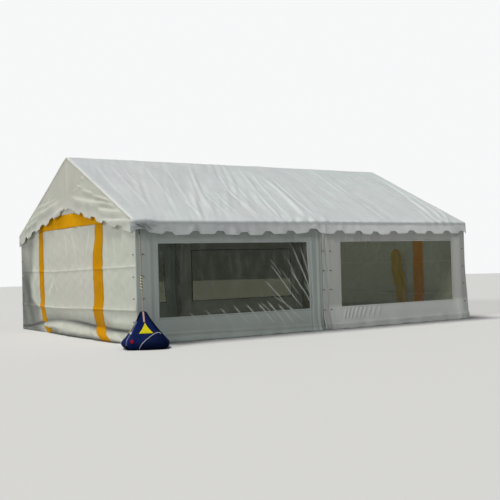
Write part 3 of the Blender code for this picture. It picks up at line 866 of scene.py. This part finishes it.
def make_side_wall(row, side, bay, way):
    """One bay's wall, its window film, and the weld around the film."""
    fine = 0.021 if side > 0 else 0.04
    cloth = paler_wall_cloth if way > 0 else wall_cloth

    def add(kind, xs, zs, material, slot, *nodes, proud=0.0, grounded=False, **options):
        """One of the wall's sheets, by its places from the middle outwards and its heights."""
        z, x = np.meshgrid(zs, xs)
        hem = hem_height(x, way)
        if grounded:
            foot = ground_hem(x, 7 + way)
            low = foot + (hem - foot) * z / HEM_ROW
            high = hem + (SILL - hem) * (z - HEM_ROW) / (SILL - HEM_ROW)
            z = np.where(z <= HEM_ROW, low, np.where(z < SILL, high, z))
        points, creased = wall_points(x, z, side, way, proud)
        # Painted shade under the valance, and painted light low on the wall and along the hem
        if way > 0:
            greyed = 0.14 * rise(z, HEAD, 0.12)
            paled = np.maximum(0.75 * fall(z, 0.50, 0.08), hump(z - hem, 0.01, 0.05))
        else:
            greyed = 0.28 * rise(z, HEAD, 0.12)
            paled = 0.45 * fall(z, hem - 0.02, 0.03)
        marks = {"creased": creased, "greyed": greyed, "paled": paled * (1 if side > 0 else 0.5)}
        name = f"{kind}_{row}_{bay}"
        return add_sheet(name, points, (0, -side, 0), material, slot, *nodes, **marks, **options)

    xs = steps([0.0015, WINDOW_LEFT, WINDOW_RIGHT, WALL_X], fine)
    zs = steps([0.0, HEM_ROW, SILL, HEAD, EAVE], fine)
    around = ~window_cells(xs, zs)
    wall = add("wall_cloth", xs, zs, cloth, "tent_cloth", f"wall_{row}_{bay}", grounded=True, keep=around)

    lap, border = 0.02, 0.03
    fine_film = 0.012 if (side, way) == (1, -1) else 0.03
    xs = steps([WINDOW_LEFT - lap, WINDOW_RIGHT + lap], fine_film)
    zs = steps([SILL - lap, HEAD + lap], fine_film)
    clear = dark_film if side < 0 else film if way > 0 else smoky_film
    node = f"window_{row}_{bay}"
    pane = add("window_film", xs, zs, clear, "window_film", node, proud=-0.0035, thickness=0)

    xs = steps([WINDOW_LEFT - border, WINDOW_LEFT, WINDOW_RIGHT, WINDOW_RIGHT + border], fine)
    zs = steps([SILL - border, SILL, HEAD, HEAD + border], fine)
    around = ~window_cells(xs, zs)
    add("window_weld", xs, zs, cloth, "tent_cloth", keep=around, proud=0.0016, thickness=0.0012)


def make_joint_strip(row, side):
    """The overlap of the two bays at the middle post, a strip that leans a little."""
    high = 1.98
    t, z = np.meshgrid(np.linspace(0, 1, 9), steps([0.012, high], 0.035))
    leaning = 0.07 * (1 - z / high)
    x = 0.06 * leaning + (0.070 + leaning) * t
    points = wall_points(x, z, side, 1)[0]
    points[..., 0] = x
    rolled = 0.006 + 0.006 * np.sin(math.pi * t) + 0.005 * ripples(z, t, 400, 5, 0.35, 0.0, 0.1) * t
    points[..., 1] -= side * np.maximum(rolled, 0.004)
    add_sheet(f"joint_strip_{row}", points, (0, -side, 0), paler_wall_cloth, "tent_cloth")


# Folds of the end walls: y and z at both ends, bend, width and height
END_SWAGS = [
    (1.82, 0.70, 2.42, 1.98, 0.02, 0.045, 0.026),
    (2.18, 0.62, 2.72, 1.90, 0.02, 0.045, 0.022),
]
END_CREASES = [
    (-0.46, 1.41, -0.14, 2.05, 0.02, 0.040, 0.012),
    (0.08, 1.42, 0.30, 2.10, 0.02, 0.040, 0.010),
    (1.15, 0.72, 0.85, 1.12, 0.00, 0.060, 0.012),
    (0.60, 0.80, 0.95, 1.20, 0.00, 0.050, 0.007),
    (-1.85, 1.45, -1.78, 2.00, 0.00, 0.040, 0.008),
    (-2.20, 1.35, -2.10, 1.95, 0.00, 0.045, 0.011),
    (-2.45, 1.60, -2.50, 2.05, 0.00, 0.040, 0.008),
    (-0.95, 1.50, -1.05, 2.10, 0.00, 0.050, 0.008),
    (0.80, 1.50, 0.90, 2.12, 0.00, 0.050, 0.008),
    (-0.30, 2.13, -0.62, 2.15, 0.00, 0.020, 0.010),
    (0.55, 2.13, 0.20, 2.12, 0.00, 0.022, 0.010),
    (1.20, 2.08, 0.95, 2.16, 0.00, 0.020, 0.009),
]


def crease_level(level, along):
    """Height of a fold line across an end wall."""
    return level + 0.013 * np.abs(along - 0.8) - 0.010


def foot_of_end(along, z):
    """What lies under an end wall's lower fold line, where the cloth dips into a valley over a roll.

    Gives the valley's height, whether a place is in the door, and how far down it is as a share of the way
    to the valley and as a share of the way from there to the ground.
    """
    valley = 0.30 - 0.08 * fall(along, 0.3, 2.6) - 0.22 * rise(along, 0.7, 2.2)
    in_door = fall(along, 1.40, 0.12) * rise(along, -2.3, 0.6)
    recess = np.clip((LOWER_CREASE - z) / (LOWER_CREASE - valley), 0, 1)
    return valley, in_door, recess, np.clip((valley - z) / valley, 0, 1)


def end_folds(y, z, end):
    """How far an end wall or its door stands out, and its crease marks."""
    seed = 200 + end
    along = y * -end
    edge = flap_edge(y, end)
    out, creased = creases(along, z, END_CREASES)
    out += swags(along, z, END_SWAGS)
    out += 0.008 * fall(z, edge, 0.3) * ripples(y, z * 0.2, seed, 6, 0.75, 0.0, 0.12) * rise(z, 0.6, 0.7)
    out += 0.004 * ripples(y, z, seed + 1, 6, 0.7, 0.7, 1.2)
    out += 0.0028 * ripples(y, z, seed + 8, 9, 0.20, 0.5, 1.6)
    for level, size in ((UPPER_CREASE, 0.013), (LOWER_CREASE, 0.028)):
        above = z - crease_level(level, along)
        out += size * np.where(above > 0, np.exp(-above / 0.06), np.exp(above / 0.016))
        # A painted highlight along each fold line
        creased = np.maximum(creased, 0.7 * hump(above, 0.008, 0.018))

    valley, in_door, recess, down = foot_of_end(along, z)
    hollow = np.where(z > valley, 0.012 - 0.052 * recess**2, -0.04)
    out += hollow * (z < LOWER_CREASE) * (0.25 + 0.75 * in_door)
    out += 0.045 * hump(along, -2.40, 0.42) * hump(z, 0.33, 0.09)
    roll = smoothstep(down / 0.66) ** 0.8 * (1 - 0.45 * rise(down, 0.80, 0.20) ** 2)
    roll *= 1 - 0.9 * hump(along, 1.32, 0.50) * rise(down, 0.45, 0.25)
    out += (0.018 + 0.130 * in_door) * roll * (1 + 0.12 * ripples(along, z, seed + 3, 4, 0.8, 0.1, 0.3))

    at_corner = smoothstep((WALL_Y - np.abs(y)) / 0.07 + 0.05)
    under_flap = 1 - 0.7 * rise(z - edge, -0.05, 0.10)
    clear_of_posts = np.where(np.abs(y) > 2.6, -0.004, -0.06)
    return np.clip(out, clear_of_posts, 0.17) * at_corner * under_flap, creased


def end_pull(along, z):
    """How far the left end's cloth is pulled sideways, towards the back."""
    valley = foot_of_end(along, z)[0]
    inside = fall(np.abs(along), 2.7, 0.9)
    pull = 0.08 * inside * fall(z, 2.3, 0.3)
    pull += 0.12 * hump(along, 1.32, 0.22) * fall(z, 2.3, 0.2)
    pull += 0.12 * hump(along, -1.28, 0.38) * fall(z, 1.9, 0.4)
    pull -= (0.28 + 0.22 * smoothstep(-along)) * inside * fall(z, valley, 0.20)
    return pull - 0.10 * hump(along, 1.5, 0.8) * fall(z, 0.9, 0.6)


def end_shade(along, z, end):
    """How much painted shade the left end's cloth has, most of all at its far edge and in the valley."""
    # Painted shade beyond the far band, in the hollow above the valley, in the valley, low on the roll,
    # under the lower fold line, and towards the bottom
    edge = 1.68 + 0.47 * rise(z, 0.50, 0.25) - 0.20 * rise(z, 1.0, 0.6)
    far_edge = rise(along - edge, -0.05, 0.38) * fall(z, 2.35, 0.1)
    far_edge = far_edge * (0.85 + 0.17 * ripples(along - 0.42 * z, z * 0, 206 + end, 4, 0.45, 0, 0))
    far_edge = far_edge * (0.95 - 0.40 * rise(z, 0.95, 0.7) - 0.08 * fall(z, 0.65, 0.15))
    valley, in_door, recess, down = foot_of_end(along, z)
    over = z - valley
    above_valley = (0.06 + 0.12 * rise(along, -0.3, 1.2)) * smoothstep(recess * 8) + 0.34 * recess**2
    beyond = rise(along, 1.55, 0.15)
    reach = np.where(over > 0, 0.038 + 0.025 * beyond, 0.035 + 0.035 * (in_door + beyond))
    in_valley = bump(over / reach) * (1 - 0.4 * hump(along, 0.65, 0.85))
    return np.maximum.reduce([
        far_edge,
        above_valley * (over > 0) * (0.3 + 0.7 * in_door),
        (1 - 0.10 * in_door) * in_valley,
        0.62 * rise(down, 0.56, 0.28) ** 1.5 * in_door,
        0.20 * hump(z - crease_level(LOWER_CREASE, along), -0.022, 0.016),
        0.09 * fall(z, 1.1, 0.6),
    ])


def end_points(y, z, end, proud=0.0):
    """Places on an end wall, its door or its band, with their marks. The right end is pulled less and has
    less painted shade.
    """
    along = y * -end
    out, creased = end_folds(y, z, end)
    pull = end_pull(along, z) * (1 if end < 0 else 0.15)
    greyed = end_shade(along, z, end) * (1 if end < 0 else 0.3)
    points = np.stack([end * (WALL_X + out + proud), y + pull * -end, z], axis=-1)
    return points, {"creased": creased, "greyed": greyed}


def cell_middles(z):
    """The middles of a grid's cells."""
    return (z[:-1, :-1] + z[1:, 1:]) / 2


def in_roll(z, end):
    """Whether a height is in the left end's roll of loose cloth."""
    return (end < 0) & (z > FOOT_TOP) & (z < ROLL_TOP)


def make_end(column, end):
    """An end wall with its door curtain and its yellow band."""
    low_rows = np.concatenate([
        steps([0.004, FOOT_TOP, ROLL_TOP, LOWER_CREASE - 0.06], 0.017),
        steps([LOWER_CREASE - 0.05, LOWER_CREASE + 0.10], 0.010),
        steps([0.68, UPPER_CREASE - 0.05], 0.04),
        steps([UPPER_CREASE - 0.04, UPPER_CREASE + 0.09], 0.010),
        steps([1.41, BAND_LOW, BAND_TOP], 0.035),
    ])
    breaks = [BAND_INNER, DOOR_HALF, BAND_OUTER, WALL_Y - 0.006]
    ys = steps([-b for b in reversed(breaks)] + [0] + breaks, 0.032)
    y_low, z_low = np.meshgrid(ys, low_rows)
    y_top, up = np.meshgrid(ys, np.linspace(0, 1, 26)[1:])
    roof = rake(y_top) - 0.010
    base = np.minimum(BAND_TOP, roof - 0.02)
    y = np.vstack([y_low, y_top])
    z = np.vstack([np.minimum(z_low, rake(y_low) - 0.03), base + (roof - base) * up])
    points, marks = end_points(y, z, end)

    y_mid, z_mid = cell_middles(y), cell_middles(z)
    across = np.abs(y_mid)
    tall = (z[1:, :-1] - z[:-1, :-1] > 1e-5) | (z[1:, 1:] - z[:-1, 1:] > 1e-5)
    doorway = (across < DOOR_HALF) & (z_mid < DOOR_TOP)
    in_band = (across < BAND_OUTER) & (z_mid < BAND_TOP) & ((across > BAND_INNER) | (z_mid > BAND_LOW))
    in_band &= ~((y_mid > 0) & in_roll(z_mid, end))

    def add(name, node, cells):
        """A sheet made of some of the end's cells."""
        outward, keep = (end, 0, 0), cells & tall
        return add_sheet(name, points, outward, end_cloth, "tent_cloth", node, keep=keep, **marks)

    wall = add(f"end_wall_cloth_{column}", f"end_wall_{column}", ~doorway & ~in_band)
    door = add(f"door_cloth_{column}", f"door_curtain_{column}", doorway & ~in_band)
    make_band(column, end, low_rows)


def make_band(column, end, rows):
    """The yellow band around a doorway: a strip above it and one down each side."""
    lap = 0.008
    low_rows = np.append(rows[rows < BAND_LOW - 0.02], BAND_LOW + lap)
    inner, outer = BAND_INNER - lap, BAND_OUTER + lap
    for where, (y0, y1), heights in (
        ("top", (-outer, outer), steps([BAND_LOW - lap, BAND_TOP + lap], 0.035)),
        ("back", (inner, outer), low_rows),
        ("front", (-outer, -inner), low_rows),
    ):
        y, z = np.meshgrid(steps([y0, y1], 0.03), heights)
        points, marks = end_points(y, z, end, proud=0.0025)
        # Painted light on the left end's top strip and on all of the right end's band
        marks = {
            "creased": marks["creased"],
            "paled": z * 0 + (0.75 if end > 0 else 0.6 if where == "top" else 0),
        }
        hidden = (where == "back") & in_roll(cell_middles(z), end)
        name, node = f"yellow_band_{column}_{where}", f"door_band_{column}"
        strip = add_sheet(name, points, (end, 0, 0), band_cloth, "yellow_band", node, keep=~hidden, **marks)


def make_inner_flap():
    """A loose yellow flap that hangs inside the right door, rounded at its top."""
    wide, low, high = 0.34, 0.25, 1.59
    t, z = np.meshgrid(np.linspace(-1, 1, 11), steps([low, high], 0.04))
    half = wide / 2 * np.sqrt(np.clip(1 - ((z - 1.46).clip(0) / 0.135) ** 2, 0.02, 1))
    y = -0.88 - 0.17 * (high - z) / 1.3 + 0.012 * np.sin(7 * z) + half * t
    x = WALL_X - 0.085 + 0.02 * np.sin(4 * z + t) + 0.012 * np.cos(math.pi * t)
    points = np.stack([x, y, z], axis=-1)
    flap = add_sheet("inner_door_flap", points, (-1, 0, 0), flap_cloth, "yellow_band")


# Ballast bag


# Sections of the bag: height, half of its width, and how square it is
BAG_SECTIONS = np.array([
    (0.000, 0.300, 6.0), (0.010, 0.335, 6.0), (0.035, 0.360, 6.0), (0.070, 0.368, 6.0),
    (0.110, 0.360, 6.0), (0.150, 0.338, 6.0), (0.200, 0.300, 6.0), (0.260, 0.252, 6.0),
    (0.370, 0.176, 6.0), (0.490, 0.096, 5.0), (0.565, 0.056, 4.0), (0.595, 0.036, 3.0),
])
# The cord on the bag's front: place across the face and height
CORD_ACROSS = np.array([-0.36, -0.28, -0.17, 0.00, 0.25, 0.48, 0.72, 0.90, 1.02])
CORD_HEIGHT = np.array([0.004, 0.050, 0.105, 0.160, 0.210, 0.242, 0.262, 0.262, 0.235])


def bag_lean(height):
    """How far the bag's middle stands to the right of its top. It leans to its left."""
    return BAG_LEAN * (1 - height / BAG_HEIGHT)


def bag_point(turn, height, proud=0.0):
    """A place on the bag's skin in the bag's own axes, at an angle and a height."""
    half = np.interp(height, BAG_SECTIONS[:, 0], BAG_SECTIONS[:, 1]) + proud
    square = np.interp(height, BAG_SECTIONS[:, 0], BAG_SECTIONS[:, 2])
    c, s = np.cos(turn), np.sin(turn)
    reach = half / (np.abs(c) ** square + np.abs(s) ** square) ** (1 / square)
    reach = reach * (1 + 0.05 * hump(height, 0.09, 0.07) * np.cos(4 * turn))
    left_belly = 1 + 0.05 * hump(height, 0.10, 0.09) * np.clip(-c, 0, 1) ** 3
    return np.stack([reach * c * left_belly + bag_lean(height), reach * s, height + 0 * turn], axis=-1)


def on_front(u, height, proud):
    """A place on the bag's front face, u from -1 at its left edge to 1 at its right edge."""
    return bag_point(np.arctan2(-1.0, u), height, proud)


def turned(piece):
    """A piece shaped in the bag's own axes, moved to the bag and turned with it."""
    piece.location = CENTRE + BAG_CENTRE
    piece.rotation_euler.z = BAG_TURN
    return piece


def make_bag():
    """The sagging shell of the bag, with a plain cap."""
    turns = np.linspace(0, math.tau, 121)[:-1]
    heights = np.concatenate([np.linspace(0, 0.20, 22), np.linspace(0.22, 0.595, 26)])
    t, h = np.meshgrid(turns, heights)
    points = bag_point(t, h)
    sag = 0.006 * ripples(t * 0.5, h, 301, 6, 0.25, 0.9, 0.8) * fall(h, 0.58, 0.2) * rise(h, 0, 0.04)
    points[..., :2] *= 1 + sag[..., None]
    rings = np.arange(h.size).reshape(h.shape)
    after = np.roll(rings, -1, axis=1)
    sides = np.stack([rings[:-1], after[:-1], after[1:], rings[1:]], axis=-1).reshape(-1, 4)
    mesh = bpy.data.meshes.new("ballast_bag_cloth")
    faces = [*sides.tolist(), rings[-1].tolist(), rings[0, ::-1].tolist()]
    mesh.from_pydata(points.reshape(-1, 3).tolist(), [], faces)
    mesh.shade_smooth()
    bag = turned(add_piece("ballast_bag_cloth", mesh, blue, "blue_bag_cloth", "ballast_bag"))
    bpy.data.objects["ballast_filler_cap"].data.materials[0] = cap_red


def bag_ridge(corner, low, high, radius):
    """A cord up one of the bag's four edges."""
    turn = math.pi / 4 + corner * math.pi / 2
    return tube_mesh("ridge", [bag_point(turn, z, 0.002) for z in np.linspace(low, high, 24)], radius)


def make_bag_trim():
    """The bag's ridges, front flap with its cord, yellow patches and strap."""
    across = np.linspace(CORD_ACROSS[0], CORD_ACROSS[-1], 34)
    u = across[:-1]
    proud = 0.006 + 0.008 * rise(u, CORD_ACROSS[0], 0.5)
    cord = on_front(u, np.interp(u, CORD_ACROSS, CORD_HEIGHT), proud)

    v, u = np.meshgrid(np.linspace(0, 1, 14), np.linspace(-1, 1, 14))
    height = 0.255 + 0.165 * v
    lean = bag_lean(height)
    patch = on_front(0.06 + u * (0.01 + 0.44 * (1 - v)), height, 0.002)
    x, y = patch[..., 0] - lean, patch[..., 1]
    in_front, on_left = (x + lean, y, height), (y + lean, -x, height)
    patches = [grid_mesh("patch", np.stack(place, axis=-1)) for place in (in_front, on_left)]
    ridges = [bag_ridge(corner, 0.03, 0.58, 0.013) for corner in range(4)]

    for name, mesh, material, slot in (
        ("bag_ridges", joined("bag_ridges", ridges), navy, "blue_bag_cloth"),
        ("bag_ridge_piping", bag_ridge(2, 0.07, 0.44, 0.0140), edging, "blue_bag_cloth"),
        ("bag_tab", bag_ridge(2, 0.245, 0.275, 0.0175), piping, "blue_bag_cloth"),
        ("bag_cord", tube_mesh("bag_cord", cord, 0.0055), piping, "rope"),
    ):
        turned(add_piece(name, mesh, material, slot))
    mesh = joined("bag_patches", patches)
    thicken(turned(add_piece("bag_patches", mesh, patch_yellow, "blue_bag_cloth")), 0.001, 1.0)

    u, r = np.meshgrid(across, np.linspace(0, 1, 16))
    low = 0.006
    height = low + (np.interp(u, CORD_ACROSS, CORD_HEIGHT) - low) * r
    swollen = rise(u, CORD_ACROSS[0], 0.5) * (0.35 + 0.65 * np.sin(math.pi * np.clip(r, 0, 1) ** 0.8))
    flap = on_front(u, height, 0.003 + 0.024 * swollen * (1 + 0.2 * ripples(u, r, 307, 5, 0.8, 0.3, 0.8)))
    turned(add_sheet("bag_flap", flap, (0, -1, 0), shadowy_blue, "blue_bag_cloth", thickness=0.003))

    middle = on_front(0.0, np.linspace(0.43, 0.59, 10), 0.004)
    strap = np.stack([middle - (0.013, 0, 0), middle + (0.013, 0, 0)], axis=1)
    strap = add_sheet("bag_strap", strap, (0, -1, 0), webbing, "rope", thickness=0.003, offset=1.0)
    turned(strap).data.shade_flat()


def circling(turn, radius):
    """A place at an angle on a level circle."""
    return Vector((radius * math.cos(turn), radius * math.sin(turn), 0))


def twisted(start, end, phase, swing):
    """Points of one strand that winds around the line between two places."""
    lay, per_turn = 0.10, 12
    count = round(per_turn * (end - start).length / lay)
    return [
        start.lerp(end, i / count) + circling(phase + math.tau * i / per_turn, swing)
        for i in range(count + 1)
    ]


def make_rope():
    """Two strands laid around each other from the eyelet to the bag, whipped below their middle."""
    top = Vector((-3.915, -HALF_Y - 0.012, 1.98))
    foot = BAG_CENTRE + Vector((0, 0, BAG_HEIGHT + 0.004))
    knot_top, knot_foot = top.lerp(foot, 0.58), top.lerp(foot, 0.75)
    strands = []
    for phase in (0, math.pi):
        strands.append(tube_mesh("strand", twisted(top, knot_top, phase, 0.0062), 0.0070))
        strands.append(tube_mesh("strand", twisted(knot_foot, foot, phase, 0.0052), 0.0062))
    # A near-black core at the rope's top and under the whipping is painted shade
    stretches = ((top, top.lerp(foot, 0.09)), (knot_top, knot_foot))
    cores = [tube_mesh("core", ends, 0.013) for ends in stretches]
    turns, points = 5, 150
    wound = []
    for i in range(points + 1):
        t = i / points
        swell = 0.013 + 0.006 * math.sin(math.pi * t * 3) ** 2
        wound.append(knot_top.lerp(knot_foot, t) + circling(t * math.tau * turns, swell))
    add_piece("tie_rope_strands", joined("tie_rope_strands", strands), rope, "rope", "tie_rope")
    add_piece("tie_rope_core", joined("tie_rope_core", cores), dark_rope, "rope")
    add_piece("tie_rope_whipping", tube_mesh("tie_rope_whipping", wound, 0.0078), cream_rope, "rope")


# Small fittings


def make_eyelets():
    """Brass eyelets with short elastic loops, along the edges of the walls."""
    places = []
    for z in (1.53, 1.15, 0.78, 0.39):
        for side in (1, -1):
            for way, x in ((-1, 3.85), (1, 0.005), (1, 0.185), (1, 3.85)):
                proud = 0.014 if x < 0.1 else 0.001
                places.append((wall_points(x, z, side, way, proud)[0], (0, -side, 0)))
        for end in (-1, 1):
            for y in (-2.86, 2.86):
                places.append((end_points(y, z, end, proud=0.001)[0], (end, 0, 0)))
    rings, loops = [], []
    for place, outward in places:
        place, outward = Vector(place), Vector(outward)
        flat = outward.to_track_quat("Z", "Y")
        sideways = Vector((0, 0, 1)).cross(outward)
        middle = place + outward * 0.002
        circle = [middle + flat @ circling(a, 0.011) for a in np.linspace(0, math.tau, 17)[:-1]]
        bow = [
            place + outward * (0.004 + 0.014 * math.sin(math.pi * t)) + sideways * (0.05 * (t - 0.3))
            for t in np.linspace(0, 1, 7)
        ]
        rings.append(tube_mesh("ring", circle, 0.0035, closed=True))
        loops.append(tube_mesh("loop", bow, 0.0042))
    add_piece("edge_eyelets", joined("edge_eyelets", rings), brass, "brass")
    add_piece("elastic_loops", joined("elastic_loops", loops), elastic, "rope")


def dress_nodes():
    """Materials for the frame nodes that stay as they are."""
    for name, node in bpy.data.objects.items():
        if node.type == "MESH" and name.startswith(("leg_", "eave_", "rafter_", "ridge_", "corner_")):
            for slot in node.material_slots:
                slot.material = brass if name == "corner_eyelet" else steel


# Stage


def make_floor():
    """A plain round floor under the tent."""
    ground = Nodes(bpy.data.materials.new("studio_floor"))
    ground.fill(ground.shader, Base_Color=(0.55, 0.55, 0.545), Roughness=0.9)
    mesh = bpy.data.meshes.new("studio_floor")
    corners = [circling(a, 60) for a in np.linspace(0, math.tau, 97)[:-1]]
    mesh.from_pydata(corners, [], [range(len(corners))])
    mesh.materials.append(ground.owner)
    floor = new_object("studio_floor", mesh)
    floor.location = CENTRE + Vector((0, 0, -0.001))


def make_lights():
    """A soft sky that shows as a pale backdrop, a broad key light from above and a fill from the left."""
    world = bpy.data.worlds.new("studio")
    bpy.context.scene.world = world
    w = Nodes(world, "Background", "World Output")
    w.fill(w.shader, Color=(0.95, 0.98, 1.0), Strength=0.25)
    backdrop = w.add("Background", Color=(0.93, 0.935, 0.94))
    path = w.add("LightPath")
    unveiled = w.math("GREATER_THAN", path.outputs["Is Camera Ray"], path.outputs["Transparent Depth"])
    w.show(w.mix(unveiled, w.shader.outputs["Background"], backdrop.outputs["Background"]))

    for name, direction, strength, angle, colour in (
        ("key", (-0.25, 0.20, 0.945), 2.78, 18, (1.0, 0.985, 0.955)),
        ("fill", (-0.88, -0.24, 0.41), 1.15, 10, (1.0, 0.99, 0.97)),
    ):
        lamp = bpy.data.lights.new(name, "SUN")
        lamp.energy = strength
        lamp.angle = math.radians(angle)
        lamp.color = colour
        new_object(name, lamp).rotation_euler = Vector(direction).to_track_quat("Z", "Y").to_euler()


def make_camera():
    """The camera, where a fit of the tent's corners to the photo puts it."""
    yaw, pitch, roll = (math.radians(a) for a in (33.3435, 1.0522, -1.5989))
    forward = Vector((math.sin(yaw) * math.cos(pitch), math.cos(yaw) * math.cos(pitch), math.sin(pitch)))
    level = Vector((math.cos(yaw), -math.sin(yaw), 0))
    up = level.cross(forward)
    right = level * math.cos(roll) + up * math.sin(roll)
    up = up * math.cos(roll) - level * math.sin(roll)
    camera = bpy.data.cameras.new("camera")
    camera.sensor_width = 36
    focal_pixels, picture_pixels = 842.72, 500
    camera.lens = focal_pixels / picture_pixels * camera.sensor_width
    holder = new_object("camera", camera)
    turn = Matrix((right, up, -forward)).transposed().to_4x4()
    holder.matrix_world = Matrix.Translation(CENTRE + Vector((-10.15, -15.861, 1.292))) @ turn
    bpy.context.scene.camera = holder


make_camera()
dress_nodes()
cover_grid = make_cover()
for column, end in (("left", -1), ("right", 1)):
    make_gable_flap(column, end)
    make_rake_welt(column, end, cover_grid[HANG_ROWS + 1:-HANG_ROWS - 1, 0 if end < 0 else -1])
    make_end(column, end)
for row, side in (("front", 1), ("back", -1)):
    for bay, way in (("left", -1), ("right", 1)):
        make_side_wall(row, side, bay, way)
    make_joint_strip(row, side)
make_inner_flap()
make_bag()
make_bag_trim()
make_rope()
make_eyelets()
make_floor()
make_lights()

view = bpy.context.scene.view_settings
view.view_transform = "Standard"
view.look = "None"
